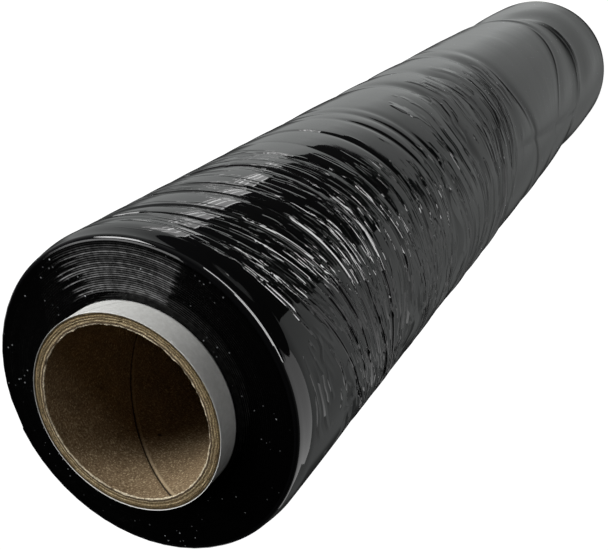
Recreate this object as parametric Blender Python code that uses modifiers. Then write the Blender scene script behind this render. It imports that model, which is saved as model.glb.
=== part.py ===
"""Hand roll of black stretch film, standing on one end of its cardboard core.

Metres, +Z up. The origin is the middle of the core's foot ring. Angles on the film are
measured from the side that faces -Y, and grow towards +X.
"""

import math

import bpy
import numpy as np

# Core
CORE_BORE = 0.0516
CORE_WALL = 0.00345
CORE_STANDS_OUT = 0.00775
CORE_OUTER_CHAMFER = 0.0002
CORE_BORE_CHAMFER = 0.0004

# Film
FILM_WIDTH = 0.500
FILM_WOUND = 0.0186
CORE_TO_FILM = 0.0003
RIM_ROUND = 0.0012
RIM_DRAWN_IN = 0.0009
SHOULDER_RUN = 0.0075
TURN_RISE = 0.00022
TAIL_STEP = 0.0004
TAIL_LAP = 0.0007

# Creases that the winding tension has pulled round the film
CREASE_DEPTH = 0.0013
LIP_REACH = 0.0017
LIP_RISE = 0.00022
BULGE_RISE = 0.0005
BULGE_SPAN = 0.040
FADE_DEG = 30.0
TAIL_DEG = 160.0

# Facets
TURNED_STEPS = 56
RIM_POINTS = 3

# Radial places of the turns that stand proud or lie low on an end face, alternately
TURN_SHARES = (0.10, 0.22, 0.38, 0.50, 0.66, 0.80, 0.91)
# How far the room left between two creases goes to their lips
LIP_ROOM_SHARE = 0.3
# What is left of a crease on the side turned away
BACK_SHARE = 0.25

STATIONS_DEG = (-75, -50, -25, 0, 25, 50, 75)
# Each crease, top to bottom: its height at the stations, as shares of the wall between the
# shoulders, its depth and its lips' reach as shares of the named ones, and the angles it spans
CREASE_SHARES = (
    ((0.898, 0.935, 0.956, 0.980, 0.988, 0.991, 0.993), 0.55, 0.8, (-90, 15)),
    ((0.892, 0.923, 0.939, 0.958, 0.972, 0.980, 0.986), 0.40, 0.8, (-45, 75)),
    ((0.886, 0.914, 0.927, 0.939, 0.954, 0.966, 0.974), 0.75, 1.0, (-50, 95)),
    ((0.873, 0.900, 0.914, 0.919, 0.929, 0.939, 0.943), 0.60, 0.9, (-95, 60)),
    ((0.861, 0.886, 0.902, 0.902, 0.910, 0.923, 0.927), 0.60, 0.9, (-95, 55)),
    ((0.853, 0.875, 0.873, 0.869, 0.873, 0.879, 0.894), 1.00, 1.5, (-55, 100)),
    ((0.842, 0.851, 0.834, 0.836, 0.842, 0.851, 0.861), 0.85, 1.4, (-95, 35)),
    ((0.797, 0.803, 0.818, 0.820, 0.820, 0.820, 0.818), 0.50, 1.0, (-60, 5)),
    ((0.787, 0.787, 0.787, 0.782, 0.782, 0.785, 0.791), 0.75, 1.4, (-70, 95)),
    ((0.749, 0.747, 0.743, 0.741, 0.743, 0.745, 0.749), 0.65, 1.7, (-95, 30)),
    ((0.733, 0.733, 0.728, 0.725, 0.723, 0.723, 0.729), 1.00, 1.7, (-60, 100)),
    ((0.694, 0.684, 0.708, 0.712, 0.708, 0.706, 0.706), 0.50, 1.5, (-60, 25)),
    ((0.648, 0.638, 0.634, 0.642, 0.617, 0.609, 0.613), 0.70, 2.4, (-20, 95)),
    ((0.587, 0.585, 0.580, 0.566, 0.560, 0.545, 0.545), 0.60, 2.6, (-45, 95)),
    ((0.549, 0.543, 0.508, 0.490, 0.475, 0.459, 0.434), 0.80, 3.4, (-60, 95)),
    ((0.413, 0.430, 0.440, 0.459, 0.440, 0.426, 0.411), 0.45, 3.6, (-75, 30)),
    ((0.277, 0.277, 0.277, 0.253, 0.211, 0.182, 0.170), 0.40, 4.0, (-15, 60)),
    ((0.149, 0.141, 0.137, 0.133, 0.133, 0.143, 0.158), 1.30, 6.5, (-95, 95)),
)

CORE_OUTER_RADIUS = CORE_BORE / 2 + CORE_WALL
CORE_LENGTH = FILM_WIDTH + 2 * CORE_STANDS_OUT
FILM_INNER_RADIUS = CORE_OUTER_RADIUS + CORE_TO_FILM
FILM_RADIUS = FILM_INNER_RADIUS + FILM_WOUND
FILM_FOOT = CORE_STANDS_OUT
FILM_TOP = FILM_FOOT + FILM_WIDTH


def clear_scene():
    for obj in list(bpy.data.objects):
        bpy.data.objects.remove(obj, do_unlink=True)


def new_collection(name):
    collection = bpy.data.collections.new(name)
    bpy.context.scene.collection.children.link(collection)
    return collection


def principled(name, colour, roughness):
    material = bpy.data.materials.new(name)
    material.use_nodes = True
    shader = material.node_tree.nodes["Principled BSDF"]
    shader.inputs["Base Color"].default_value = (*colour, 1)
    shader.inputs["Roughness"].default_value = roughness
    shader.inputs["Metallic"].default_value = 0
    return material


def turned_mesh(name, profile):
    """A closed profile of (radius, height) pairs turned about +Z, as a mesh with its modifier applied.

    Each of the TURNED_STEPS columns holds the profile's points in their order.
    """
    edges = [(i, (i + 1) % len(profile)) for i in range(len(profile))]
    outline = bpy.data.meshes.new(name + "_profile")
    outline.from_pydata([(radius, 0, height) for radius, height in profile], edges, [])
    guide = bpy.data.objects.new(name + "_profile", outline)
    bpy.context.scene.collection.objects.link(guide)
    screw = guide.modifiers.new("Turn", "SCREW")
    screw.steps = TURNED_STEPS
    screw.render_steps = TURNED_STEPS
    bpy.context.view_layer.update()
    evaluated = guide.evaluated_get(bpy.context.evaluated_depsgraph_get())
    mesh = bpy.data.meshes.new_from_object(evaluated)
    bpy.data.objects.remove(guide)
    bpy.data.meshes.remove(outline)
    mesh.name = name
    return mesh


def finished(name, mesh, material, collection, sharp_deg):
    mesh.materials.clear()
    mesh.materials.append(material)
    mesh.shade_smooth()
    mesh.set_sharp_from_angle(angle=math.radians(sharp_deg))
    obj = bpy.data.objects.new(name, mesh)
    collection.objects.link(obj)
    return obj


def core_profile():
    """Down the outer side, in along the foot ring, up the bore and out along the head ring."""
    outer, bore = CORE_OUTER_RADIUS, CORE_BORE / 2
    cut, burr = CORE_OUTER_CHAMFER, CORE_BORE_CHAMFER
    half = [
        (outer, cut),
        (outer - cut, 0),
        (bore + burr, 0),
        (bore, burr),
    ]
    return half + [(radius, CORE_LENGTH - height) for radius, height in reversed(half)]


def cardboard_core(collection):
    kraft = principled("kraft_board", (0.36, 0.25, 0.16), 0.85)
    mesh = turned_mesh("cardboard_core", core_profile())
    return finished("cardboard_core", mesh, kraft, collection, 30)


def column_angles():
    """Degrees of each column, with the two at the film's tail drawn together into its lap."""
    angles = 90 + np.arange(TURNED_STEPS) * 360 / TURNED_STEPS
    before = int(np.searchsorted(angles, TAIL_DEG)) - 1
    half_lap = math.degrees(TAIL_LAP / FILM_RADIUS) / 2
    angles[before] = TAIL_DEG - half_lap
    angles[before + 1] = TAIL_DEG + half_lap
    return angles


def round_the_roll(values, angles):
    """Values given at the stations, read at each angle with their corners eased."""
    around = np.interp(angles, STATIONS_DEG, values, period=360)
    for _ in range(2):
        around = (np.roll(around, 1) + around + np.roll(around, -1)) / 3
    return around


def strength(span, angles):
    """One inside a crease's span, easing to what is left of it on the side turned away."""
    middle = sum(span) / 2
    away = np.abs((angles - middle + 180) % 360 - 180)
    past = np.clip((away - (span[1] - middle)) / FADE_DEG, 0, 1)
    return 1 - (1 - BACK_SHARE) * past * past * (3 - 2 * past)


def crease_rows(angles):
    """Rows of (height, rise) round the wall, top to bottom: a bulge before each crease, then its
    upper lip, its valley and its lower lip."""
    top = np.full_like(angles, FILM_TOP - SHOULDER_RUN)
    foot = np.full_like(angles, FILM_FOOT + SHOULDER_RUN)
    valleys = [foot + (top - foot) * round_the_roll(row[0], angles) for row in CREASE_SHARES]
    above_all = [top, *valleys]
    below_all = [*valleys[1:], foot]
    rows = []
    for (_, depth, reach, span), above, valley, below in zip(CREASE_SHARES, above_all, valleys, below_all):
        force = strength(span, angles)
        up = np.minimum(LIP_REACH * reach, LIP_ROOM_SHARE * (above - valley))
        down = np.minimum(LIP_REACH * reach, LIP_ROOM_SHARE * (valley - below))
        rows.append(bulge_row(above, valley))
        rows.append((valley + up, LIP_RISE * force))
        rows.append((valley, -CREASE_DEPTH * depth * force))
        rows.append((valley - down, LIP_RISE * force))
    rows.append(bulge_row(valleys[-1], foot))
    return rows


def bulge_row(above, below):
    """The film stands out between two creases, the more the further they are apart."""
    room = np.minimum((above - below) / BULGE_SPAN, 1)
    return (above + below) / 2, BULGE_RISE * room


def rim_arc():
    """(drawn in from the wall, down from the end face) along the rounded rim, wall first."""
    turns = np.linspace(0, math.pi / 2, RIM_POINTS)
    return [(RIM_ROUND * (1 - math.cos(turn)), RIM_ROUND * (1 - math.sin(turn))) for turn in turns]


def end_rows(angles, face_height, inward):
    """The shoulder, the rim and the end face's turns, from the wall to the bore.

    inward is -1 on the top end and +1 on the foot: the way from the face into the film.
    """
    still = np.ones_like(angles)
    rim_radius = FILM_RADIUS - RIM_DRAWN_IN
    rows = [((face_height + inward * SHOULDER_RUN) * still, FILM_RADIUS * still)]
    for drawn, down in rim_arc():
        rows.append(((face_height + inward * down) * still, (rim_radius - drawn) * still))
    flat = rim_radius - RIM_ROUND - FILM_INNER_RADIUS
    for place, share in enumerate(reversed(TURN_SHARES)):
        sunk = inward * TURN_RISE * (place % 2)
        rows.append(((face_height + sunk) * still, (FILM_INNER_RADIUS + flat * share) * still))
    rows.append((face_height * still, FILM_INNER_RADIUS * still))
    return rows


def film_rows(angles):
    """Every row of the film as (height, radius) round the roll, down the wall and back up the bore."""
    head = end_rows(angles, FILM_TOP, -1)
    foot = end_rows(angles, FILM_FOOT, 1)
    wall = [(height, FILM_RADIUS + rise) for height, rise in crease_rows(angles)]
    return head[::-1] + wall + foot


def wound_radius(radius, angles):
    """The outer turns spiral out by one lap of film, and step back at the tail."""
    turn_share = ((angles - TAIL_DEG) % 360) / 360
    depth_share = (radius - FILM_INNER_RADIUS) / FILM_WOUND
    return radius - TAIL_STEP * turn_share * depth_share


def film_roll(collection):
    black = principled("black_stretch_film", (0.012, 0.012, 0.013), 0.2)
    angles = column_angles()
    rows = film_rows(angles)
    plain = [(float(radius.mean()), float(height.mean())) for height, radius in rows]
    mesh = turned_mesh("film_roll", plain)
    heights = np.array([height for height, _ in rows]).T
    radii = np.array([wound_radius(radius, angles) for _, radius in rows]).T
    turn = np.radians(angles)[:, None]
    points = np.stack([radii * np.sin(turn), -radii * np.cos(turn), heights], axis=-1)
    mesh.vertices.foreach_set("co", points.astype(np.float32).ravel())
    mesh.update()
    return finished("film_roll", mesh, black, collection, 40)


def build():
    clear_scene()
    collection = new_collection("stretch_wrap_roll")
    cardboard_core(collection)
    film_roll(collection)


build()
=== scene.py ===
"""Looks of the stretch wrap roll: black stretch film wound on a spiral cardboard core, on its end.

Metres, +Z up. Angles on the roll are degrees from the side that faces -Y, and grow towards +X.
"""

import math
import bpy
import numpy as np
from mathutils import Euler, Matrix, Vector


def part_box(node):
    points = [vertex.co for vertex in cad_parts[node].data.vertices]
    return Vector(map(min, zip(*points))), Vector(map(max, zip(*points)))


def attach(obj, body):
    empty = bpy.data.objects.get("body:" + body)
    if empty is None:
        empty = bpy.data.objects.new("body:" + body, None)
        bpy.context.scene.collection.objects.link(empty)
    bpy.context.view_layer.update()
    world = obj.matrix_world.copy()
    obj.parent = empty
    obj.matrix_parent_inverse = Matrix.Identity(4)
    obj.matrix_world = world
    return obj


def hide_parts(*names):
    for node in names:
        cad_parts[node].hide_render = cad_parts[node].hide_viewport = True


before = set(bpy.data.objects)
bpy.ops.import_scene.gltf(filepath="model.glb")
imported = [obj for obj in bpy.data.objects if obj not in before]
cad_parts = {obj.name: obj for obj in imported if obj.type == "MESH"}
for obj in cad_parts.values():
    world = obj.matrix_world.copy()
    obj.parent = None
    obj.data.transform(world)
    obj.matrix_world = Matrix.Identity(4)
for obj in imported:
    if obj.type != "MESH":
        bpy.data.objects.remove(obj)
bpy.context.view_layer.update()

MM = 0.001

# Camera, as a pinhole fitted to the photograph's ellipses
LENS_MM = 57.34
CAMERA_AT = (0.0, -0.18853, 0.69619)
CAMERA_TURN_DEG = (-22.934, 24.351, -134.777)

# Sizes shared with the solids
FILM_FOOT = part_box("film_roll")[0].z
FILM_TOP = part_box("film_roll")[1].z
CORE_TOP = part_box("cardboard_core")[1].z
CORE_OUTER = 29.25 * MM
CORE_BORE = 25.8 * MM
PLY = 0.25 * MM
FILM_INNER = 29.55 * MM
FILM_RADIUS = 48.15 * MM
RIM_ROUND = 1.3 * MM
RIM_STEPS = 5
RIM_DRAWN_IN = 0.9 * MM
SHOULDER_RUN = 7.5 * MM
TAIL_STEP = 0.4 * MM
TAIL_LAP_DEG = 0.8
TAIL_DEG = 160.0
SEAM_RUN_PER_DEG = 0.387 * MM
BORE_SEAM_AT = (186, 488.0)
BORE_SPOT_AT = (207, 487.5)
PAPER_SEAM_AT = (60, 512.3)

FILM_COLUMNS = 176
CORE_COLUMNS = 360

# Height on the roll and the spacing of the film's rows there, in millimetres
ROW_STEPS = ((100, 3.0), (240, 1.8), (300, 1.2), (400, 0.62), (440, 0.355), (497, 0.355), (500, 0.6))

STATIONS_DEG = (-75, -50, -25, 0, 25, 50, 75)
# Each crease, top to bottom: its height at the stations, as shares of the wall between the
# shoulders, its depth and the run of its upper side in millimetres, and the angles it spans
CREASES = (
    ((0.898, 0.935, 0.956, 0.980, 0.988, 0.991, 0.993), 0.38, 1.15, (-90, 15)),
    ((0.892, 0.923, 0.939, 0.958, 0.972, 0.980, 0.986), 0.28, 1.0, (-45, 75)),
    ((0.886, 0.914, 0.927, 0.939, 0.954, 0.966, 0.974), 0.50, 1.55, (-50, 95)),
    ((0.873, 0.900, 0.914, 0.919, 0.929, 0.939, 0.943), 0.36, 1.3, (-95, 60)),
    ((0.861, 0.886, 0.902, 0.902, 0.910, 0.923, 0.927), 0.40, 1.3, (-95, 55)),
    ((0.853, 0.875, 0.873, 0.869, 0.873, 0.879, 0.894), 0.65, 1.9, (-55, 100)),
    ((0.842, 0.851, 0.834, 0.836, 0.842, 0.851, 0.861), 0.42, 1.6, (-95, 35)),
    ((0.797, 0.803, 0.818, 0.820, 0.820, 0.820, 0.818), 0.20, 1.0, (-60, 5)),
    ((0.787, 0.787, 0.787, 0.782, 0.782, 0.785, 0.791), 0.26, 1.0, (-70, 95)),
    ((0.749, 0.747, 0.743, 0.741, 0.743, 0.745, 0.749), 0.24, 1.2, (-95, 30)),
    ((0.733, 0.733, 0.728, 0.725, 0.723, 0.723, 0.729), 0.45, 2.0, (-60, 100)),
    ((0.694, 0.684, 0.708, 0.712, 0.708, 0.706, 0.706), 0.30, 1.7, (-60, 25)),
    ((0.648, 0.638, 0.634, 0.642, 0.617, 0.609, 0.613), 0.80, 4.2, (-20, 95)),
    ((0.587, 0.585, 0.580, 0.566, 0.560, 0.545, 0.545), 0.80, 4.2, (-45, 95)),
    ((0.549, 0.543, 0.508, 0.490, 0.475, 0.459, 0.434), 0.95, 5.0, (-60, 95)),
    ((0.413, 0.430, 0.440, 0.459, 0.440, 0.426, 0.411), 0.60, 3.4, (-75, 30)),
    ((0.360, 0.340, 0.310, 0.235, 0.196, 0.198, 0.235), 0.50, 4.0, (-30, 35)),
    ((0.233, 0.208, 0.164, 0.147, 0.146, 0.181, 0.217), 0.26, 3.0, (-70, 75)),
    ((0.215, 0.190, 0.146, 0.129, 0.128, 0.165, 0.200), 2.20, 14.0, (-95, 95)),
)
# A crease's lower side as a share of its upper side's run, at two heights on the roll
LIP_AT_MM = (385, 425)
LIP_SHARES = (1.5, 0.17)
FADE_DEG = 30.0
BACK_SHARE = 0.25
CREASE_UNEVEN = 0.35
BULGE_RISE = 0.3 * MM
BULGE_ROOM = 40 * MM

# Single sharp folds: angle and height of each end, in degrees and millimetres up the roll
FOLDS = (
    (-10, 490.5, 1.5, 493.5), (-8, 487, 3, 489.5), (3, 490, 14, 493), (5, 487, 21, 492.5),
    (-15, 484.5, -7, 489), (-28, 483, -17, 489), (-27, 481.5, -19, 483), (-20, 474, -7, 484.5),
    (-12, 478, -6, 485), (-8, 480, 9, 485), (9, 480.5, 15, 484.5), (13, 482, 20, 484),
    (2, 474.5, 12, 479.5), (12, 477.5, 20, 481), (-3, 481.5, 8, 483), (-25, 469, -12, 475),
    (-20, 471, -8, 474), (-15, 466, 2, 471), (-10, 464.5, 6, 468.5), (-9, 463.4, 4, 466.2),
    (-28, 468, -18, 472), (12, 464, 30, 467), (-10, 458, 12, 462), (0, 459.5, 17, 463),
    (-12, 455, 10, 459.5), (-8, 453, 8, 456), (-25, 450, -5, 453), (0, 449, 12, 451.5),
    (5, 450.5, 16, 453.5), (20, 456, 31, 458.5), (-14, 449, 4, 451), (-27, 447.5, -12, 441.5),
    (-3, 440, 8, 442.5), (-15, 434.5, -3, 435.5), (2, 436, 10, 435.5), (-3, 430, 19, 434),
    (-7, 427, 4, 429.5), (-5, 431, 9, 432), (-12, 420.5, 6, 423), (-20, 410, -2, 418),
    (20, 434.5, 34, 435.5), (18, 451, 33, 452.5), (-10, 394, -7, 397.5), (-6, 394.5, -2, 396),
    (1, 391.5, 7, 392), (22, 391, 31, 391), (15, 378.5, 22, 379.5), (-36, 486, -29, 490),
    (-26, 462, -24, 461), (-24, 459.5, -19, 459), (-20, 460.5, -15, 458), (-58, 445, -50, 446.5),
    (-45, 459, -39, 461), (-13, 370, -10, 366), (-4, 362.5, 0, 363), (-27, 449.5, -23, 447.5),
)
FOLD_RISE = 0.20 * MM
FOLD_HALF_WIDTH = 0.38 * MM

# Where the film is gathered: from and to a height and the easing there, in millimetres; the same
# round the roll, in degrees; and how much
FINE_GATHERS = (
    (448, 496, 12, -48, 26, 20, 0.64), (394, 462, 14, -34, 18, 22, 0.7),
    (418, 500, 14, 14, 70, 18, 0.55), (345, 402, 14, -50, 8, 18, 0.45),
)
COARSE_GATHER = (375, 486, 24, -90, -24, 20, 1.0)
UPPER_SOFT_GATHER = (325, 395, 30, -80, 4, 24, 0.8)
# The lower soft one starts at a height that changes round the roll
SOFT_FOOT_DEG = (-60, -33, -5, 20)
SOFT_FOOT_MM = (268, 256, 241, 234)
SOFT_GATHER = (345, 14, -80, 34, 30, 1.0)

# Slow unevenness: degrees round the roll, millimetres up it, seed and rise in millimetres
LUMPS = ((14, 7, 13, 0.06),)
WAVES = ((20, 6, 14, 0.13), (12, 3, 15, 0.05))
EVERYWHERE = ((30, 16, 16, 0.06), (40, 3, 17, 0.007))
# The lumps end before the part that mirrors the window's strip
LUMPS_TO_DEG = 25
LUMPS_EASE_DEG = 20

# The edges of the turns on the film's end faces: how far apart their rings are, how deep they lie
# and how near the core they end
RING_GAP_MM = (0.5, 1.6)
RING_DEPTH_MM = 0.02
RINGS_END = 1.9 * MM
# What the eye takes for one turn there, and how far one stands over the next
TURN_PITCH = 0.6 * MM
TURN_STANDS = 0.105 * MM

# The edge of an inner turn that shows through near the foot: its line, depth and reach
INNER_EDGE_MM = (118, 194, 251)
INNER_EDGE_DEG = (-47, -38, -31.5)
INNER_EDGE_DEPTH = 1.1 * MM
INNER_EDGE_REACH_MM = (112, 256, 24)
INNER_EDGE_SLOW_DEG = 8
INNER_EDGE_SHARP_DEG = 3

# Short folds: which of the film's gathers they belong to, their length, width, rise and wander in
# millimetres, and the form of their flanks
FOLD_KINDS = (
    ("X", 42, 1.7, 0.18, 1.6, "LINEAR"), ("X", 20, 1.25, 0.13, 0.9, "LINEAR"),
    ("Y", 34, 4.2, 0.44, 5.0, "LINEAR"), ("Y", 18, 2.4, 0.22, 2.0, "LINEAR"),
    ("Z", 60, 11.0, 0.62, 6.0, "LINEAR"), ("Z", 34, 6.0, 0.28, 3.0, "SMOOTHSTEP"),
)

# Share of the sawn edge from the bore outwards, and the tone there
PLY_TONES = ((0.0, "#c4b9a0"), (0.10, "#bfb39a"), (0.15, "#44382b"), (0.26, "#5a4c3a"), (0.31, "#a8997a"),
             (0.38, "#6a5b44"), (0.48, "#54462f"), (0.53, "#ac9d7d"), (0.60, "#6f6048"), (0.67, "#564731"),
             (0.71, "#8c7d5e"), (0.77, "#4e412c"), (0.88, "#3c3222"), (0.93, "#82775c"), (1.0, "#463b29"))

# The core's sawn ends: the plies' edges from the outside in, in millimetres, and the bore's torn lip
SAWN_FROM_MM, SAWN_TO_MM, PLY_PITCH_MM = 28.90, 26.0, 0.17
SAWN_DEPTH_MM = 0.22
BORE_LIP = ((25.95 * MM, 0.1 * MM), (CORE_BORE, 0.35 * MM))
FUZZ = ((1.6, 0.5, 41, 0.06), (9, 0.34, 42, 0.07))
NICK_DEG = (42, 0.9)
NICK_MM = (26.9, 28.3, 0.3)
NICK_DEPTH = 0.5 * MM
TORN_RADIUS = 26.2 * MM
TORN_AT, TORN_REACH, TORN_DEPTH = 0.2 * MM, 0.5 * MM, 0.36 * MM

# The bore's rows: from, to and step under the head, and over the foot, in millimetres
BORE_HEAD_ROWS_MM = ((1.0, 42.0, 0.45), (43.0, 130.0, 3.0), (180.0, 251.0, 70.0))
BORE_FOOT_ROWS_MM = (60.0, 30.0, 12.0, 4.0, 1.0)
# The spiral seam in the bore: a groove, and the lap that stands out beside it
JOINT_HALF_WIDTH, JOINT_DEPTH = 0.5 * MM, 0.26 * MM
LAP_AWAY, LAP_HALF_WIDTH, LAP_RISE = 1.0 * MM, 0.6 * MM, 0.16 * MM
DIMPLES = ((8, 5, 45, 0.05),)

# The paper's rows near the head, its lap and its waves
PAPER_ROWS_MM = (0, 9.0, 0.3)
PAPER_EDGE = 0.12 * MM
PAPER_LAP_EASE, PAPER_LAP_RUN, PAPER_LAP_RISE = 0.35 * MM, 9 * MM, 0.06 * MM
PAPER_WAVES = ((6, 5, 51, 0.03),)

POLYETHYLENE_IOR = 1.51


def linear(hex_colour):
    """An sRGB hex colour as linear RGBA."""
    channels = [int(hex_colour[i:i + 2], 16) / 255 for i in (1, 3, 5)]
    return tuple(c / 12.92 if c <= 0.04045 else ((c + 0.055) / 1.055) ** 2.4 for c in channels) + (1,)


# Modelling helpers

def on_roll(radius, degrees, up_mm):
    """A point of the roll."""
    turn = math.radians(degrees)
    return (radius * math.sin(turn), -radius * math.cos(turn), up_mm * MM)


def select_only(piece):
    bpy.ops.object.select_all(action="DESELECT")
    piece.select_set(True)
    bpy.context.view_layer.objects.active = piece


def spun(name, outline, steps):
    """A closed outline of (radius, height) points, listed down the outer side, spun round +Z."""
    bpy.ops.object.select_all(action="DESELECT")
    bpy.ops.mesh.primitive_circle_add(vertices=len(outline), radius=FILM_RADIUS, fill_type="NOTHING")
    piece = bpy.context.object
    piece.name = piece.data.name = name
    for vertex, (radius, height) in zip(piece.data.vertices, outline):
        vertex.co = (radius, 0, height)
    row = piece.data.attributes.new("row", "INT", "POINT")
    row.data.foreach_set("value", range(len(outline)))
    bpy.ops.object.mode_set(mode="EDIT")
    bpy.ops.mesh.select_all(action="SELECT")
    bpy.ops.mesh.spin(steps=steps, angle=math.tau, center=(0, 0, 0), axis=(0, 0, 1))
    bpy.ops.mesh.select_all(action="SELECT")
    bpy.ops.mesh.remove_doubles(threshold=0.002 * MM)
    bpy.ops.mesh.select_all(action="SELECT")
    bpy.ops.mesh.normals_make_consistent(inside=False)
    bpy.ops.object.mode_set(mode="OBJECT")
    return piece


def laid_out(piece, outline):
    """Each point's row of the outline, its angle in degrees from -180 to 180, its radius and its height."""
    mesh = piece.data
    rows = np.empty(len(mesh.vertices), np.int32)
    mesh.attributes["row"].data.foreach_get("value", rows)
    points = np.empty(len(mesh.vertices) * 3, np.float32)
    mesh.vertices.foreach_get("co", points)
    points = points.reshape(-1, 3)
    radius, height = [np.array(column)[rows] for column in zip(*outline)]
    return rows, np.degrees(np.arctan2(points[:, 0], -points[:, 1])), radius, height


def flat_points(radius, degrees, height):
    """Points of the roll as one row of x, y and z."""
    turn = np.radians(degrees)
    points = np.stack([radius * np.sin(turn), -radius * np.cos(turn), height], axis=-1)
    return points.astype(np.float32).ravel()


def set_points(piece, radius, degrees, height):
    piece.data.vertices.foreach_set("co", flat_points(radius, degrees, height))
    piece.data.update()


def finished(piece, material, node, smooth_deg=60):
    """Shaded, with its first material, riding on the roll's body in place of its solid."""
    select_only(piece)
    bpy.ops.object.shade_smooth_by_angle(angle=math.radians(smooth_deg))
    piece.data.attributes.remove(piece.data.attributes["row"])
    piece.data.materials.append(material)
    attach(piece, "root")
    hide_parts(node)


def second_material(piece, material, chosen):
    """Another material on the faces whose points are all chosen."""
    piece.data.materials.append(material)
    for polygon in piece.data.polygons:
        if all(chosen[v] for v in polygon.vertices):
            polygon.material_index = 1


def smooth(x):
    """An eased step: zero at 0, one at 1."""
    x = np.clip(x, 0, 1)
    return x * x * (3 - 2 * x)


def between(x, low, high, soft):
    """One from low to high, easing to zero over soft on either side."""
    return smooth((x - low) / soft + 0.5) * smooth((high - x) / soft + 0.5)


def ripple(degrees, heights, cell_deg, cell_high, seed):
    """Smooth noise from -1 to 1 on cells that close up round the roll."""
    around = max(3, round(360 / cell_deg))
    up = heights / cell_high
    lattice = np.random.default_rng(seed).uniform(-1, 1, (around, int(up.max()) + 3))
    turn = (degrees % 360) / 360 * around
    i, j = np.floor(turn).astype(int), np.floor(up).astype(int)
    u, v = smooth(turn - i), smooth(up - j)
    near, far = i % around, (i + 1) % around
    low = lattice[near, j] * (1 - u) + lattice[far, j] * u
    high = lattice[near, j + 1] * (1 - u) + lattice[far, j + 1] * u
    return low * (1 - v) + high * v


def ripples(degrees, heights, kinds):
    return sum(ripple(degrees, heights, wide, high * MM, seed) * rise * MM for wide, high, seed, rise in kinds)


# Film

def crease_heights(degrees):
    """Height of each crease at each angle, top to bottom, with its corners eased."""
    fine = np.arange(-180, 180, 1.0)
    heights = []
    for shares, *_ in CREASES:
        around = np.interp(fine, STATIONS_DEG, shares, period=360)
        for _ in range(3):
            around = sum(np.roll(around, step) for step in range(-7, 8)) / 15
        share = np.interp(degrees, fine, around, period=360)
        foot = FILM_FOOT + SHOULDER_RUN
        heights.append(foot + (FILM_TOP - FILM_FOOT - 2 * SHOULDER_RUN) * share)
    return heights


def strength(span, degrees):
    """One over a crease's span, fading to its share behind the roll."""
    middle = sum(span) / 2
    away = np.abs((degrees - middle + 180) % 360 - 180)
    return 1 - (1 - BACK_SHARE) * smooth((away - (span[1] - middle)) / FADE_DEG)


def column_angles():
    """The film's columns: close on the gathered -Y side, wide apart behind, two at the tail's edge."""
    shares = np.arange(FILM_COLUMNS) / FILM_COLUMNS
    angles = np.interp(shares, (0, 0.07, 0.93, 1), (-180, -102, 102, 180))
    after = np.searchsorted(angles, TAIL_DEG)
    angles[after - 1] = TAIL_DEG - TAIL_LAP_DEG / 2
    angles[after] = TAIL_DEG + TAIL_LAP_DEG / 2
    return angles


def wall_rows():
    """Heights of the wall's rows on the -Y side, top to bottom: closest where the folds are sharp."""
    top, foot = FILM_TOP - RIM_ROUND, FILM_FOOT + RIM_ROUND
    rows = [top]
    while rows[-1] > foot:
        high = rows[-1] / MM
        rows.append((high - np.interp(high, *zip(*ROW_STEPS))) * MM)
    rows[-1] = foot
    return rows


def end_rings(face, inward, seed):
    """(radius, height) of one end face from the rim to the bore, with the turns' edges uneven."""
    turns = np.linspace(0, math.pi / 2, RIM_STEPS + 1)[1:]
    rim = FILM_RADIUS - RIM_DRAWN_IN
    rings = [(rim - RIM_ROUND * (1 - math.cos(turn)), face + inward * RIM_ROUND * (1 - math.sin(turn)))
             for turn in turns]
    uneven = np.random.default_rng(seed)
    radius = rings[-1][0]
    while radius - FILM_INNER > RINGS_END:
        radius -= uneven.uniform(*RING_GAP_MM) * MM
        rings.append((radius, face + inward * uneven.uniform(0.0, RING_DEPTH_MM) * MM))
    rings.append((FILM_INNER, face))
    return rings


def flow_heights(rows, degrees):
    """Real height of each wall row at each angle: rows run with the creases."""
    columns = np.unique(np.round(degrees, 4))
    ends = (FILM_TOP - RIM_ROUND, FILM_FOOT + RIM_ROUND)
    here = [np.full_like(columns, ends[0]), *crease_heights(columns), np.full_like(columns, ends[1])]
    front = [ends[0], *[float(h[0]) for h in crease_heights(np.zeros(1))], ends[1]]
    table = np.stack([np.interp(rows, front[::-1], np.array([h[c] for h in here])[::-1])
                      for c in range(len(columns))])
    return columns, table


def crease_relief(flow, degrees):
    """How far the film stands out or falls in: the creases' valleys and lips, and the bulges between."""
    front = [float(h[0]) for h in crease_heights(np.zeros(1))]
    relief = np.zeros_like(flow)
    for (_, depth, run, span), middle in zip(CREASES, front):
        uneven = CREASE_UNEVEN * ripple(degrees, flow, 24, 40 * MM, int(middle / MM))
        force = strength(span, degrees) * (1 + uneven)
        above = flow - middle
        gentle = np.exp(-np.maximum(above, 0) / (run * MM))
        lip = run * MM * np.interp(middle / MM, LIP_AT_MM, LIP_SHARES)
        steep = np.exp(-(np.minimum(above, 0) / lip) ** 2)
        relief -= depth * MM * force * gentle * steep
    edges = np.array([FILM_TOP, *front, FILM_FOOT])[::-1]
    band = np.clip(np.searchsorted(edges, flow) - 1, 0, len(edges) - 2)
    room = edges[band + 1] - edges[band]
    place = np.clip((flow - edges[band]) / room, 0, 1)
    return relief + BULGE_RISE * np.minimum(room / BULGE_ROOM, 1) * (1 - (2 * place - 1) ** 2)


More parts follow.
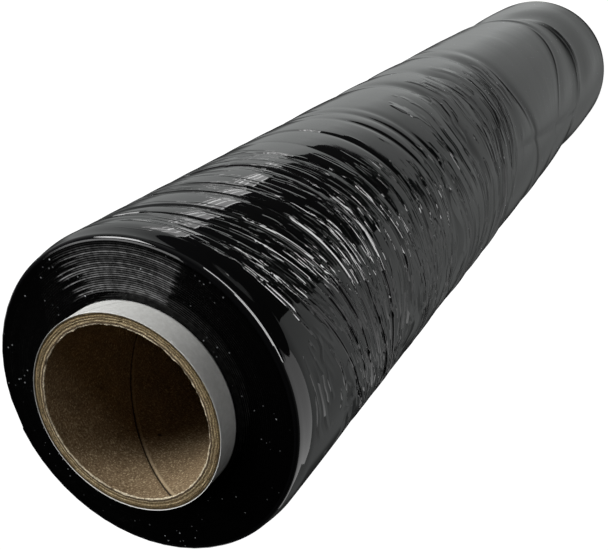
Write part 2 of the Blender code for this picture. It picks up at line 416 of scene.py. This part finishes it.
def fold_relief(heights, degrees):
    """The single sharp folds, each easing out at its ends."""
    relief = np.zeros_like(heights)
    for from_deg, from_mm, to_deg, to_mm in FOLDS:
        low, high = min(from_mm, to_mm) - 2, max(from_mm, to_mm) + 2
        here = (degrees > from_deg) & (degrees < to_deg) & (heights > low * MM) & (heights < high * MM)
        along = (degrees[here] - from_deg) / (to_deg - from_deg)
        middle = (from_mm + (to_mm - from_mm) * along) * MM
        rise = FOLD_RISE * between(along, 0.1, 0.9, 0.2)
        ridge = rise * np.exp(-((heights[here] - middle) / FOLD_HALF_WIDTH) ** 2)
        relief[here] = np.maximum(relief[here], ridge)
    return relief


def gathered(up, degrees, low, high, soft, from_deg, to_deg, soft_deg, share):
    return between(up, low, high, soft) * between(degrees, from_deg, to_deg, soft_deg) * share


def gathers(heights, degrees):
    """How far the film is gathered into fine folds, into coarse ones and into soft ones, from 0 to 1."""
    up = heights / MM
    fine = np.maximum.reduce([gathered(up, degrees, *gather) for gather in FINE_GATHERS])
    coarse = gathered(up, degrees, *COARSE_GATHER)
    foot = np.interp(degrees, SOFT_FOOT_DEG, SOFT_FOOT_MM)
    soft = np.maximum(gathered(up, degrees, foot, *SOFT_GATHER), gathered(up, degrees, *UPPER_SOFT_GATHER))
    return fine, coarse, soft


def inner_edge_relief(heights, degrees):
    """A lengthwise edge of an inner turn: a slow fall towards it on one side, and a sharp one on the other."""
    up = heights / MM
    past = degrees - np.interp(up, INNER_EDGE_MM, INNER_EDGE_DEG)
    slow = np.exp(np.minimum(past, 0) / INNER_EDGE_SLOW_DEG)
    dip = slow * np.exp(-(np.maximum(past, 0) / INNER_EDGE_SHARP_DEG) ** 2)
    return -INNER_EDGE_DEPTH * dip * between(up, *INNER_EDGE_REACH_MM)


def wrinkle_relief(flow, heights, degrees):
    """Slow unevenness, stronger where the film is gathered, but not where it mirrors the window's strip."""
    fine, coarse, soft = gathers(heights, degrees)
    lumps, waves, everywhere = [ripples(degrees, flow, kinds) for kinds in (LUMPS, WAVES, EVERYWHERE)]
    clear_of_strip = smooth((LUMPS_TO_DEG - degrees) / LUMPS_EASE_DEG)
    return np.maximum(fine, coarse) * clear_of_strip * lumps + soft * waves + everywhere


def film_turns():
    """The whole wound film as one closed piece: creased wall, rounded rims, turns' edges and bore."""
    wall = wall_rows()
    head = end_rings(FILM_TOP, -1, 21)
    foot = end_rings(FILM_FOOT, 1, 22)
    outline = head[::-1] + [(FILM_RADIUS, height) for height in wall] + foot
    piece = spun("film_turns", outline, FILM_COLUMNS)
    rows, degrees, radius, height = laid_out(piece, outline)
    spun_column = np.round((degrees + 180) / 360 * FILM_COLUMNS).astype(int) % FILM_COLUMNS
    degrees = column_angles()[spun_column]
    on_wall = (rows >= len(head)) & (rows < len(head) + len(wall))
    flow = height.copy()
    columns, table = flow_heights(np.array(wall), degrees)
    column = np.searchsorted(columns, np.round(degrees, 4))
    height[on_wall] = table[column[on_wall], rows[on_wall] - len(head)]
    end_ease = smooth((FILM_TOP - height) / SHOULDER_RUN) * smooth((height - FILM_FOOT) / SHOULDER_RUN)
    relief = crease_relief(flow, degrees) + fold_relief(height, degrees)
    relief += wrinkle_relief(flow, height, degrees) + inner_edge_relief(height, degrees)
    radius = radius + np.where(on_wall, relief * end_ease - RIM_DRAWN_IN * (1 - end_ease), 0)
    turn_share = ((degrees - TAIL_DEG) % 360) / 360
    radius -= TAIL_STEP * turn_share * (radius - FILM_INNER) / (FILM_RADIUS - FILM_INNER)
    set_points(piece, radius, degrees, height)
    flow_point = piece.data.attributes.new("film_flow", "FLOAT_VECTOR", "POINT")
    flow_point.data.foreach_set("vector", flat_points(FILM_RADIUS, degrees, flow))
    gather_point = piece.data.attributes.new("film_gather", "FLOAT_VECTOR", "POINT")
    amounts = np.stack(gathers(height, degrees), axis=-1) * on_wall[:, None]
    gather_point.data.foreach_set("vector", amounts.astype(np.float32).ravel())
    finished(piece, stretch_film(), "film_roll")
    inside_rim = RIM_STEPS - 1
    on_face = (rows < len(head) - inside_rim) | (rows >= len(head) + len(wall) + inside_rim)
    second_material(piece, film_edges(), on_face)


# Core

def cut_end(face, inward):
    """(radius, height) across the tube's sawn end, from outside in: the plies' edges stand unevenly."""
    uneven = np.random.default_rng(31)
    rings = []
    for radius in np.arange(SAWN_FROM_MM, SAWN_TO_MM, -PLY_PITCH_MM):
        rings.append((radius * MM, face + inward * uneven.uniform(0.0, SAWN_DEPTH_MM) * MM))
    return rings + [(radius, face + inward * depth) for radius, depth in BORE_LIP]


def bore_rows():
    """(radius, height) down the bore, closest near the head, where the seam shows."""
    upper = [(CORE_BORE, CORE_TOP - depth * MM) for rows in BORE_HEAD_ROWS_MM for depth in np.arange(*rows)]
    return upper + [(CORE_BORE, up * MM) for up in BORE_FOOT_ROWS_MM]


def from_seam(degrees, heights, at_deg, at_mm):
    """Height above the spiral seam that passes a given point, the nearest of its turns."""
    pitch = SEAM_RUN_PER_DEG * 360
    rise = heights - at_mm * MM - SEAM_RUN_PER_DEG * (degrees - at_deg)
    return (rise + pitch / 2) % pitch - pitch / 2


def board_tube():
    """The spiral-wound board under its paper: sawn ends with plies, torn inner edge, seam in the bore."""
    head, foot = cut_end(CORE_TOP, -1), cut_end(0.0, 1)
    outer = CORE_OUTER - PLY - 0.03 * MM
    wall = [(outer, CORE_TOP - 0.3 * MM), (outer, 0.3 * MM)]
    outline = wall + foot + bore_rows()[::-1] + head[::-1]
    piece = spun("board_tube", outline, CORE_COLUMNS)
    rows, degrees, radius, height = laid_out(piece, outline)
    on_bore = np.abs(radius - CORE_BORE) < 0.001 * MM
    on_end = ~on_bore & (radius < outer - 0.001 * MM)
    fuzz = ripples(degrees, radius, FUZZ)
    away = np.minimum(np.abs(height - CORE_TOP), np.abs(height))
    at_head = height > CORE_TOP / 2
    height += np.where(on_end, np.where(at_head, -1, 1) * np.abs(fuzz), 0)
    nick = np.exp(-((degrees - NICK_DEG[0]) / NICK_DEG[1]) ** 2) * between(radius / MM, *NICK_MM) * at_head
    height -= np.where(on_end, nick * NICK_DEPTH, 0)
    torn = np.exp(-((away - TORN_AT) / TORN_REACH) ** 2) * (radius < TORN_RADIUS)
    level = np.full_like(height, MM)
    ragged = 0.5 + 0.5 * ripple(degrees, level, 1.3, MM, 43) + 0.5 * ripple(degrees, level, 7, MM, 44)
    radius -= np.where(on_bore | on_end, torn * np.clip(ragged, 0, 1.5) * TORN_DEPTH, 0)
    seam = from_seam(degrees, height, *BORE_SEAM_AT)
    joint = np.exp(-(seam / JOINT_HALF_WIDTH) ** 2) * JOINT_DEPTH
    lap = np.exp(-((seam + LAP_AWAY) / LAP_HALF_WIDTH) ** 2) * LAP_RISE
    radius += np.where(on_bore & (away > MM), joint - lap + ripples(degrees, height, DIMPLES), 0)
    set_points(piece, radius, degrees, height)
    finished(piece, kraft_board(), "cardboard_core")
    second_material(piece, sawn_board(), away < 0.7 * MM)


def paper_ply():
    """The white ply glued round the board, with its own spiral seam lapped a hair proud."""
    inner = CORE_OUTER - PLY
    shown = [CORE_TOP - PAPER_EDGE - step * MM for step in np.arange(*PAPER_ROWS_MM)]
    hidden = [CORE_TOP / 2, 9 * MM, 4 * MM]
    outer = [(CORE_OUTER, height) for height in [*shown, *hidden, PAPER_EDGE]]
    foot = [(CORE_OUTER - PLY / 2, 0.02 * MM), (inner, 0.1 * MM)]
    head = [(inner, CORE_TOP - 0.1 * MM), (CORE_OUTER - PLY / 2, CORE_TOP - 0.02 * MM)]
    outline = outer + foot + head
    piece = spun("paper_ply", outline, CORE_COLUMNS)
    rows, degrees, radius, height = laid_out(piece, outline)
    seam = from_seam(degrees, height, *PAPER_SEAM_AT)
    lap = smooth(seam / PAPER_LAP_EASE + 0.5) * (1 - smooth(seam / PAPER_LAP_RUN))
    wave = ripples(degrees, height, PAPER_WAVES)
    on_outer = radius > CORE_OUTER - 0.01 * MM
    radius -= np.where(on_outer, (1 - lap) * PAPER_LAP_RISE + np.abs(wave), 0)
    set_points(piece, radius, degrees, height)
    finished(piece, white_paper(), "cardboard_core", 50)


# Materials

def new_material(name):
    material = bpy.data.materials.new(name)
    material.use_nodes = True
    return material, material.node_tree, material.node_tree.nodes["Principled BSDF"]


def add(tree, kind, links=None, **settings):
    """A node with its settings, and its inputs set to values or linked to other nodes' outputs."""
    node = tree.nodes.new(kind)
    for name, value in settings.items():
        setattr(node, name, value)
    for name, value in (links or {}).items():
        if isinstance(value, bpy.types.NodeSocket):
            tree.links.new(value, node.inputs[name])
        else:
            node.inputs[name].default_value = value
    return node


def maths(tree, operation, *values):
    return add(tree, "ShaderNodeMath", dict(enumerate(values)), operation=operation).outputs[0]


def product(tree, first, second):
    return maths(tree, "MULTIPLY", first, second)


def vector_maths(tree, operation, *values):
    """A vector operation's result, which is a vector or a value."""
    node = add(tree, "ShaderNodeVectorMath", dict(enumerate(values)), operation=operation)
    return node.outputs["Value" if operation in ("LENGTH", "DISTANCE") else "Vector"]


def parts_of(tree, vector):
    return add(tree, "ShaderNodeSeparateXYZ", {"Vector": vector}).outputs


def object_place(tree):
    return add(tree, "ShaderNodeTexCoord").outputs["Object"]


def turn_of(tree, parts):
    """Angle round the roll in radians."""
    return maths(tree, "ARCTAN2", parts["X"], product(tree, parts["Y"], -1.0))


def radius_of(tree, place):
    """Distance from the roll's axis."""
    parts = parts_of(tree, place)
    flat = add(tree, "ShaderNodeCombineXYZ", {"X": parts["X"], "Y": parts["Y"], "Z": 0.0}).outputs["Vector"]
    return vector_maths(tree, "LENGTH", flat)


def stretched(tree, vector, around_mm, up_mm):
    """Coordinates whose unit is one feature: so long round the roll, so high up it."""
    scale = (1 / (around_mm * MM), 1 / (around_mm * MM), 1 / (up_mm * MM))
    return add(tree, "ShaderNodeMapping", {"Vector": vector, "Scale": scale}).outputs["Vector"]


def on_sheet(tree, sheet, long_mm, wide_mm, shift):
    """The same on the unrolled film, moved so that no two patterns fall together."""
    scale = (1 / (long_mm * MM), 1 / (wide_mm * MM), 1.0)
    links = {"Vector": sheet, "Scale": scale, "Location": (shift, shift, 0)}
    return add(tree, "ShaderNodeMapping", links).outputs["Vector"]


def noise(tree, vector, detail=2.0, roughness=0.5):
    links = {"Vector": vector, "Scale": 1.0, "Detail": detail, "Roughness": roughness}
    return add(tree, "ShaderNodeTexNoise", links).outputs["Fac"]


def chance_of(tree, number):
    """A random value from 0 to 1 that belongs to a whole number."""
    return add(tree, "ShaderNodeTexWhiteNoise", {"W": number}, noise_dimensions="1D").outputs["Value"]


def mapped(tree, value, low, high, to_low, to_high, edge="LINEAR"):
    links = {"Value": value, "From Min": low, "From Max": high, "To Min": to_low, "To Max": to_high}
    return add(tree, "ShaderNodeMapRange", links, interpolation_type=edge).outputs["Result"]


def bumped(tree, height, distance, normal=None):
    links = {"Height": height, "Distance": distance, "Strength": 1.0}
    if normal is not None:
        links["Normal"] = normal
    return add(tree, "ShaderNodeBump", links).outputs["Normal"]


def mixed(tree, factor, first, second):
    node = add(tree, "ShaderNodeMix", data_type="RGBA")
    for socket, value in ((node.inputs[0], factor), (node.inputs[6], first), (node.inputs[7], second)):
        if isinstance(value, bpy.types.NodeSocket):
            tree.links.new(value, socket)
        else:
            socket.default_value = value
    return node.outputs[2]


def ramp_of(tree, share, stops):
    """A colour ramp: places from 0 to 1, each with its linear colour."""
    ramp = add(tree, "ShaderNodeValToRGB", {"Fac": share})
    points = ramp.color_ramp.elements
    while len(points) < len(stops):
        points.new(0.5)
    for point, (place, colour) in zip(points, stops):
        point.position = place
        point.color = colour
    return ramp.outputs["Color"]


def unrolled(tree, place):
    """Distance round the film, and height, of a point on it."""
    parts = parts_of(tree, place)
    around = product(tree, turn_of(tree, parts), FILM_RADIUS)
    return add(tree, "ShaderNodeCombineXYZ", {"X": around, "Y": parts["Z"]}).outputs["Vector"]


def short_folds(tree, sheet, amount, long_mm, wide_mm, wander_mm, edge):
    """Short folds that run with the creases, no two of one height: one along a fold's ridge."""
    slow = noise(tree, on_sheet(tree, sheet, long_mm * 0.8, wide_mm * 8, long_mm), 2.0)
    wander = mapped(tree, slow, 0.3, 0.7, -wander_mm * MM, wander_mm * MM)
    bent = vector_maths(tree, "ADD", sheet, add(tree, "ShaderNodeCombineXYZ", {"Y": wander}).outputs["Vector"])
    cell = on_sheet(tree, bent, long_mm, wide_mm, long_mm + wide_mm)
    cells = add(tree, "ShaderNodeTexVoronoi", {"Vector": cell, "Scale": 1.0, "Randomness": 0.9},
                voronoi_dimensions="2D", distance="CHEBYCHEV")
    off = vector_maths(tree, "SUBTRACT", cell, cells.outputs["Position"])
    sides = parts_of(tree, vector_maths(tree, "ABSOLUTE", off))
    ridge = mapped(tree, sides["Y"], 0.0, 0.32, 1.0, 0.0, edge)
    ends = mapped(tree, sides["X"], 0.32, 0.5, 1.0, 0.0)
    lot = add(tree, "ShaderNodeSeparateColor", {"Color": cells.outputs["Color"]}).outputs
    patches = mapped(tree, noise(tree, on_sheet(tree, sheet, 18, 8, wide_mm), 2.0), 0.36, 0.56, 0.15, 1.0)
    spare = maths(tree, "SUBTRACT", product(tree, amount, patches), lot["Green"])
    here = mapped(tree, spare, 0.0, 0.1, 0.0, 1.0)
    height = product(tree, here, mapped(tree, lot["Red"], 0.0, 1.0, 0.45, 1.2))
    return product(tree, product(tree, ridge, ends), height)


def stretch_film():
    """Blown polyethylene film, stretched tight: black and glossy, drawn into fine lines and short folds."""
    material, tree, shader = new_material("black_polyethylene_stretch_film")
    flow = add(tree, "ShaderNodeAttribute", attribute_name="film_flow").outputs["Vector"]
    amounts = add(tree, "ShaderNodeAttribute", attribute_name="film_gather").outputs["Vector"]
    gather = parts_of(tree, amounts)
    drawn = noise(tree, stretched(tree, flow, 30, 0.5), 2.0)
    normal = bumped(tree, drawn, 0.0015 * MM)
    cockle = noise(tree, stretched(tree, flow, 26, 7), 1.0)
    normal = bumped(tree, cockle, 0.05 * MM, normal)
    sheet = unrolled(tree, flow)
    for kind, long, wide, rise, wander, edge in FOLD_KINDS:
        folds = short_folds(tree, sheet, gather[kind], long, wide, wander, edge)
        normal = bumped(tree, folds, rise * MM, normal)
    haze = noise(tree, stretched(tree, flow, 18, 5), 2.0)
    worn = mapped(tree, parts_of(tree, flow)["Z"], 0.24, 0.43, 0.10, 0.032)
    uneven = mapped(tree, haze, 0.3, 0.7, 0.8, 1.4)
    tree.links.new(product(tree, worn, uneven), shader.inputs["Roughness"])
    tree.links.new(normal, shader.inputs["Normal"])
    shader.inputs["Base Color"].default_value = linear("#0a0a0b")
    shader.inputs["IOR"].default_value = POLYETHYLENE_IOR
    return material


def film_edges():
    """Slit edges of the same film, hundreds of turns side by side, each sloping out like a shingle."""
    material, tree, shader = new_material("slit_film_edges")
    place = object_place(tree)
    radius = radius_of(tree, place)
    turns = product(tree, radius, 1 / TURN_PITCH)
    turn = maths(tree, "FLOOR", turns)
    shingle = mapped(tree, maths(tree, "FRACT", turns), 0.0, 0.55, 1.0, 0.0)
    past_core = mapped(tree, radius, 31.2 * MM, 32.4 * MM, 0.35, 1.0)
    before_rim = mapped(tree, radius, 42.6 * MM, 45.0 * MM, 1.0, 0.2)
    within = product(tree, past_core, before_rim)
    stand = product(tree, mapped(tree, chance_of(tree, turn), 0.0, 1.0, 0.45, 1.3), within)
    normal = bumped(tree, product(tree, shingle, stand), TURN_STANDS)
    gloss = mapped(tree, chance_of(tree, product(tree, turn, 1.7)), 0.0, 1.0, 0.12, 0.65)
    rubbed = mapped(tree, noise(tree, stretched(tree, place, 1.4, 1.4), 2.0), 0.35, 0.65, 0.5, 1.3)
    tree.links.new(product(tree, product(tree, gloss, rubbed), within), shader.inputs["Specular IOR Level"])
    tree.links.new(normal, shader.inputs["Normal"])
    clusters = mapped(tree, noise(tree, stretched(tree, place, 11, 11), 1.0), 0.42, 0.60, 0.0, 1.0)
    dust = product(tree, specks(tree, place, 1.7, 0.6, 0.17), clusters)
    tree.links.new(mixed(tree, dust, linear("#030303"), linear("#c3c6c8")), shader.inputs["Base Color"])
    shader.inputs["Roughness"].default_value = 0.06
    shader.inputs["IOR"].default_value = POLYETHYLENE_IOR
    return material


def specks(tree, place, cell_mm, share, reach):
    """One in small round specks, in a share of the cells, most of them fainter than the few brightest."""
    cell = stretched(tree, place, cell_mm, cell_mm)
    cells = add(tree, "ShaderNodeTexVoronoi", {"Vector": cell, "Scale": 1.0})
    lot = add(tree, "ShaderNodeSeparateColor", {"Color": cells.outputs["Color"]}).outputs["Red"]
    small = mapped(tree, cells.outputs["Distance"], reach * 0.4, reach, 1.0, 0.0)
    bright = maths(tree, "POWER", mapped(tree, lot, 1 - share, 1.0, 0.0, 1.0), 1.5)
    return product(tree, small, bright)


def seam_line(tree, place, at, half_mm):
    """One along the spiral seam through a given angle and height, nothing away from it."""
    at_deg, at_mm = at
    parts = parts_of(tree, place)
    run = SEAM_RUN_PER_DEG * 180 / math.pi
    rise = maths(tree, "MULTIPLY_ADD", turn_of(tree, parts), -run, parts["Z"])
    from_line = maths(tree, "SUBTRACT", rise, at_mm * MM - at_deg * SEAM_RUN_PER_DEG)
    pitch = SEAM_RUN_PER_DEG * 360
    away = maths(tree, "ABSOLUTE", maths(tree, "WRAP", from_line, pitch / 2, -pitch / 2))
    return mapped(tree, away, half_mm * 0.5 * MM, half_mm * 1.5 * MM, 1.0, 0.0)


def sawn_board():
    """The same board where the saw cut it: plies as rings, from a pale torn edge to a dark glue line."""
    material, tree, shader = new_material("sawn_board_plies")
    place = object_place(tree)
    fibre = noise(tree, stretched(tree, place, 0.35, 0.35), 3.0, 0.7)
    wander = noise(tree, stretched(tree, place, 5, 5), 2.0)
    frayed = noise(tree, stretched(tree, place, 1.3, 1.3), 2.0)
    shift = mapped(tree, wander, 0.3, 0.7, -0.14 * MM, 0.14 * MM)
    fray = mapped(tree, frayed, 0.3, 0.7, -0.10 * MM, 0.10 * MM)
    waved = maths(tree, "ADD", radius_of(tree, place), maths(tree, "ADD", shift, fray))
    across = mapped(tree, waved, CORE_BORE - 0.3 * MM, CORE_OUTER, 0.0, 1.0)
    plies = ramp_of(tree, across, [(share, linear(tone)) for share, tone in PLY_TONES])
    speckled = mapped(tree, fibre, 0.34, 0.66, 0.35, 1.75)
    colour = add(tree, "ShaderNodeVectorMath", {0: plies, 3: speckled}, operation="SCALE").outputs["Vector"]
    tree.links.new(colour, shader.inputs["Base Color"])
    tree.links.new(bumped(tree, fibre, 0.16 * MM), shader.inputs["Normal"])
    shader.inputs["Roughness"].default_value = 0.9
    shader.inputs["Specular IOR Level"].default_value = 0.2
    return material


def kraft_board():
    """Recycled kraft board, rolled and sawn: matt brown with pale and dark fibres."""
    material, tree, shader = new_material("spiral_wound_kraft_board")
    place = object_place(tree)
    fibre = noise(tree, stretched(tree, place, 0.6, 0.5), 4.0, 0.7)
    cloud = noise(tree, stretched(tree, place, 7, 7), 2.0)
    base = mixed(tree, mapped(tree, cloud, 0.3, 0.7, 0.0, 1.0), linear("#77634a"), linear("#877257"))
    dark = mixed(tree, mapped(tree, fibre, 0.30, 0.46, 1.0, 0.0), base, linear("#483a29"))
    mottled = mixed(tree, mapped(tree, fibre, 0.53, 0.66, 0.0, 0.9), dark, linear("#d0bf9c"))
    joint = seam_line(tree, place, BORE_SEAM_AT, 0.3)
    # A painted highlight: a paler line along the lap beside the bore's seam, standing in for the light its
    # raised edge would catch
    lap = seam_line(tree, place, (BORE_SEAM_AT[0], BORE_SEAM_AT[1] - 1.0), 0.45)
    with_painted_lap_highlight = mixed(tree, product(tree, lap, 0.5), mottled, linear("#b5a486"))
    seamed = mixed(tree, joint, with_painted_lap_highlight, linear("#241c13"))
    away = vector_maths(tree, "DISTANCE", place, on_roll(CORE_BORE, *BORE_SPOT_AT))
    spot = mapped(tree, away, 0.35 * MM, 0.9 * MM, 0.85, 0.0)
    tree.links.new(mixed(tree, spot, seamed, linear("#120c07")), shader.inputs["Base Color"])
    tree.links.new(bumped(tree, fibre, 0.10 * MM), shader.inputs["Normal"])
    shader.inputs["Roughness"].default_value = 0.88
    shader.inputs["Specular IOR Level"].default_value = 0.25
    return material


def white_paper():
    """Bleached paper, machine finished and glued on: white, smooth, faintly mottled."""
    material, tree, shader = new_material("bleached_paper_ply")
    place = object_place(tree)
    mottle = noise(tree, stretched(tree, place, 1.6, 1.6), 3.0, 0.6)
    paper = mixed(tree, mapped(tree, mottle, 0.35, 0.65, 0.0, 1.0), linear("#d8d8d4"), linear("#e4e4e1"))
    joint = seam_line(tree, place, PAPER_SEAM_AT, 0.12)
    dots = specks(tree, place, 2.6, 0.16, 0.10)
    dotted = mixed(tree, dots, mixed(tree, joint, paper, linear("#8f8f8c")), linear("#4c4a46"))
    tree.links.new(dotted, shader.inputs["Base Color"])
    tree.links.new(bumped(tree, mottle, 0.05 * MM), shader.inputs["Normal"])
    shader.inputs["Roughness"].default_value = 0.62
    shader.inputs["Specular IOR Level"].default_value = 0.3
    return material


# Studio

# Millimetres, on a level 250 mm over the floor: what the near end of the film mirrors
FLAG_LEVEL = 250.0
DARK_FLAG = ((-33, -130), (-69, -231), (-92, -305), (0, -325), (110, -308), (205, -252), (301, -172),
             (215, -114), (129, -56), (106, -62), (80, -88), (56, -104), (32, -113), (13, -119), (0, -134))
STRIP_EDGE = ((140, -63), (301, -172))
STRIP_BACK = ((144, -30), (345, -20))
# The strip from its sharp edge back: how much of its width each band takes, and its brightness
STRIP_BANDS = ((0.06, 3.6), (0.28, 1.5), (0.06, 3.8), (0.20, 1.6),
               (0.07, 4.2), (0.13, 1.1), (0.05, 2.6), (0.15, 0.8))

# The room round the roll: brightness by degrees from straight down, and by degrees round from +Y
# by way of -X
ROOM_BY_TILT = ((0, 0.01), (7, 0.03), (9, 0.25), (11, 0.6), (13, 0.85), (30, 1.0),
                (52, 0.9), (65, 0.45), (80, 0.3), (105, 0.12), (120, 0.03))
ROOM_BY_TURN = ((0, 0.01), (28, 0.02), (39, 0.05), (48, 0.15), (60, 0.2), (88, 0.26), (122, 0.44), (180, 0.44),
                (227, 0.5), (272, 0.82), (293, 0.66), (314, 0.5), (322, 0.16), (331, 0.05), (360, 0.01))
ROOM_TINT = (0.98, 1.01, 1.0)

# Cards as seen from the head of the roll: azimuth, elevation, width and height in degrees,
# brightness, and metres off
CARD_AWAY = 1.6
DARK_BRIGHTNESS = 0.02
FAR_CARDS = (
    ("lamp_front", 0, -20, 64, 11, 11.0, CARD_AWAY),
    ("lamp_right", -78, -30, 80, 26, 1.1, 2.2),
    ("dark_backdrop", 18, -38, 90, 15, DARK_BRIGHTNESS, 1.2),
    ("rim_lamp", -6, -6, 34, 10, 14.0, CARD_AWAY),
    ("lamp_back_left", 150, -14, 14, 24, 0.9, 1.9),
    ("lamp_back_right", 208, -14, 18, 24, 0.9, 1.9),
)
# Where the end face's turns mirror light from, as azimuth and elevation: a wedge of the face,
# edge by edge, its middle and its brightness
WEDGE_CORNERS = ((154, 64.5), (136, 69), (115, 69.5), (95, 68), (79, 63),
                 (126, 30), (126, 39), (138, 34), (138, 45), (150, 41))
WEDGE_MIDDLE = (122, 54)
WEDGE_BRIGHTNESS = 3.0

# The backdrop, in metres: a square floor and a round wall, and how brightly each is lit
FLOOR_SIZE, FLOOR_BRIGHTNESS = 30, 1.0
WALL_RADIUS, WALL_DEPTH, WALL_BRIGHTNESS = 10, 20, 0.9

# Lamps: azimuth, elevation, metres off, size, power, and whether the film mirrors them
SOFTBOXES = (
    ("key_softbox", 85, 26, 1.1, 0.5, 10.5, True),
    ("fill_softbox", 5, 12, 1.1, 0.5, 1.8, False),
    ("top_softbox", 124, 57, 1.1, 0.4, 6.0, False),
)


def way_to(azimuth, elevation):
    """The direction of an azimuth and an elevation in degrees."""
    turn, rise = math.radians(azimuth), math.radians(elevation)
    return Vector((math.sin(turn) * math.cos(rise), -math.cos(turn) * math.cos(rise), math.sin(rise)))


def lit_evenly(piece, name, base, brightness):
    """A matt, evenly glowing stage piece that throws no light of its own."""
    piece.name = name
    material, _, shader = new_material(name)
    shader.inputs["Base Color"].default_value = (base, base, base, 1)
    shader.inputs["Roughness"].default_value = 0.9
    shader.inputs["Specular IOR Level"].default_value = 0
    shader.inputs["Emission Color"].default_value = (1, 1, 1, 1)
    shader.inputs["Emission Strength"].default_value = brightness
    material.cycles.emission_sampling = "NONE"
    piece.data.materials.append(material)


def reflected_card(name, corners, brightness):
    """A flat card that only reflections show, like a flag, a reflector or a lamp in a studio."""
    bpy.ops.object.select_all(action="DESELECT")
    bpy.ops.mesh.primitive_circle_add(vertices=len(corners), radius=1, fill_type="NGON")
    card = bpy.context.object
    for vertex, corner in zip(card.data.vertices, corners):
        vertex.co = corner
    card.visible_camera = card.visible_diffuse = card.visible_shadow = False
    card.visible_transmission = card.visible_volume_scatter = False
    lit_evenly(card, name, 0, brightness)


def level_card(name, corners, brightness):
    """A level card, its corners in millimetres."""
    reflected_card(name, [(x * MM, y * MM, FLAG_LEVEL * MM) for x, y in corners], brightness)


def far_card(name, azimuth, elevation, width_deg, high_deg, brightness, distance):
    """A card square to a line from the head of the roll, given by its angles as seen from there."""
    aim = way_to(azimuth, elevation)
    across = Vector((-aim.y, aim.x, 0)).normalized()
    over = across.cross(aim)
    half_wide = distance * math.tan(math.radians(width_deg / 2))
    half_high = distance * math.tan(math.radians(high_deg / 2))
    middle = Vector((0, 0, CORE_TOP)) + aim * distance
    signs = ((-1, -1), (1, -1), (1, 1), (-1, 1))
    corners = [middle + across * right * half_wide + over * up * half_high for right, up in signs]
    reflected_card(name, corners, brightness)


def wedge_lamp():
    """A flat card whose corners lie on given lines of sight from the head of the roll."""
    aim = way_to(*WEDGE_MIDDLE)
    ways = [way_to(*corner) for corner in WEDGE_CORNERS]
    corners = [Vector((0, 0, CORE_TOP)) + way * (CARD_AWAY / way.dot(aim)) for way in ways]
    reflected_card("lamp_above", corners, WEDGE_BRIGHTNESS)


def window_strip():
    """A bright window's edge across the near end, in bands of light and shade."""
    start = 0.0
    near, far = [[Vector((*point, 0)) for point in line] for line in zip(STRIP_EDGE, STRIP_BACK)]
    for number, (width, brightness) in enumerate(STRIP_BANDS):
        sides = [line[0].lerp(line[1], share) for share in (start, start + width) for line in (near, far)]
        corners = [sides[0], sides[1], sides[3], sides[2]]
        level_card(f"strip_{number}", [(corner.x, corner.y) for corner in corners], brightness)
        start += width


def backdrop(piece, name, brightness):
    """Pale and lit evenly, and seen by the camera only: the film mirrors the cards and the room."""
    piece.visible_glossy = piece.visible_diffuse = False
    lit_evenly(piece, name, 0.2, brightness)


def floor_and_wall():
    bpy.ops.object.select_all(action="DESELECT")
    bpy.ops.mesh.primitive_plane_add(size=FLOOR_SIZE)
    backdrop(bpy.context.object, "pale_floor", FLOOR_BRIGHTNESS)
    bpy.ops.object.select_all(action="DESELECT")
    bpy.ops.mesh.primitive_cylinder_add(vertices=64, radius=WALL_RADIUS, depth=WALL_DEPTH,
                                        end_fill_type="NOTHING")
    backdrop(bpy.context.object, "pale_wall", WALL_BRIGHTNESS)
    bpy.context.object.visible_shadow = False


def softbox(name, azimuth, elevation, distance, size, power, mirrored):
    """A square lamp that points at the head of the roll."""
    light = bpy.data.lights.new(name, "AREA")
    light.shape = "SQUARE"
    light.size = size
    light.energy = power
    lamp = bpy.data.objects.new(name, light)
    aim = way_to(azimuth, elevation)
    lamp.location = Vector((0, 0, CORE_TOP)) + aim * distance
    lamp.rotation_euler = aim.to_track_quat("Z", "Y").to_euler()
    lamp.visible_camera = False
    lamp.visible_glossy = mirrored
    bpy.context.scene.collection.objects.link(lamp)


def greys(stops, full):
    return [(place / full, (value, value, value, 1)) for place, value in stops]


def surroundings():
    """The room that the film mirrors, grey below and dark above, darkest behind the roll."""
    world = bpy.data.worlds.new("studio_room")
    bpy.context.scene.world = world
    world.use_nodes = True
    tree = world.node_tree
    parts = parts_of(tree, add(tree, "ShaderNodeTexCoord").outputs["Generated"])
    tilt = maths(tree, "ARCCOSINE", product(tree, parts["Z"], -1.0))
    by_tilt = ramp_of(tree, mapped(tree, tilt, 0.0, math.pi, 0.0, 1.0), greys(ROOM_BY_TILT, 180))
    turn = turn_of(tree, parts)
    by_turn = ramp_of(tree, mapped(tree, turn, -math.pi, math.pi, 0.0, 1.0), greys(ROOM_BY_TURN, 360))
    both = vector_maths(tree, "MULTIPLY", by_tilt, by_turn)
    tinted = vector_maths(tree, "MULTIPLY", both, ROOM_TINT)
    tree.links.new(tinted, tree.nodes["Background"].inputs["Color"])
    world.cycles_visibility.diffuse = False


def camera():
    data = bpy.data.cameras.new("camera")
    data.lens = LENS_MM
    data.clip_start = 0.01
    view = bpy.data.objects.new("camera", data)
    view.location = CAMERA_AT
    view.rotation_euler = Euler([math.radians(turn) for turn in CAMERA_TURN_DEG], "XYZ")
    bpy.context.scene.collection.objects.link(view)
    bpy.context.scene.camera = view


def studio():
    floor_and_wall()
    surroundings()
    level_card("dark_flag", DARK_FLAG, DARK_BRIGHTNESS)
    window_strip()
    for card in FAR_CARDS:
        far_card(*card)
    wedge_lamp()
    for box in SOFTBOXES:
        softbox(*box)
    bpy.context.scene.view_settings.view_transform = "Standard"


camera()
film_turns()
board_tube()
paper_ply()
studio()
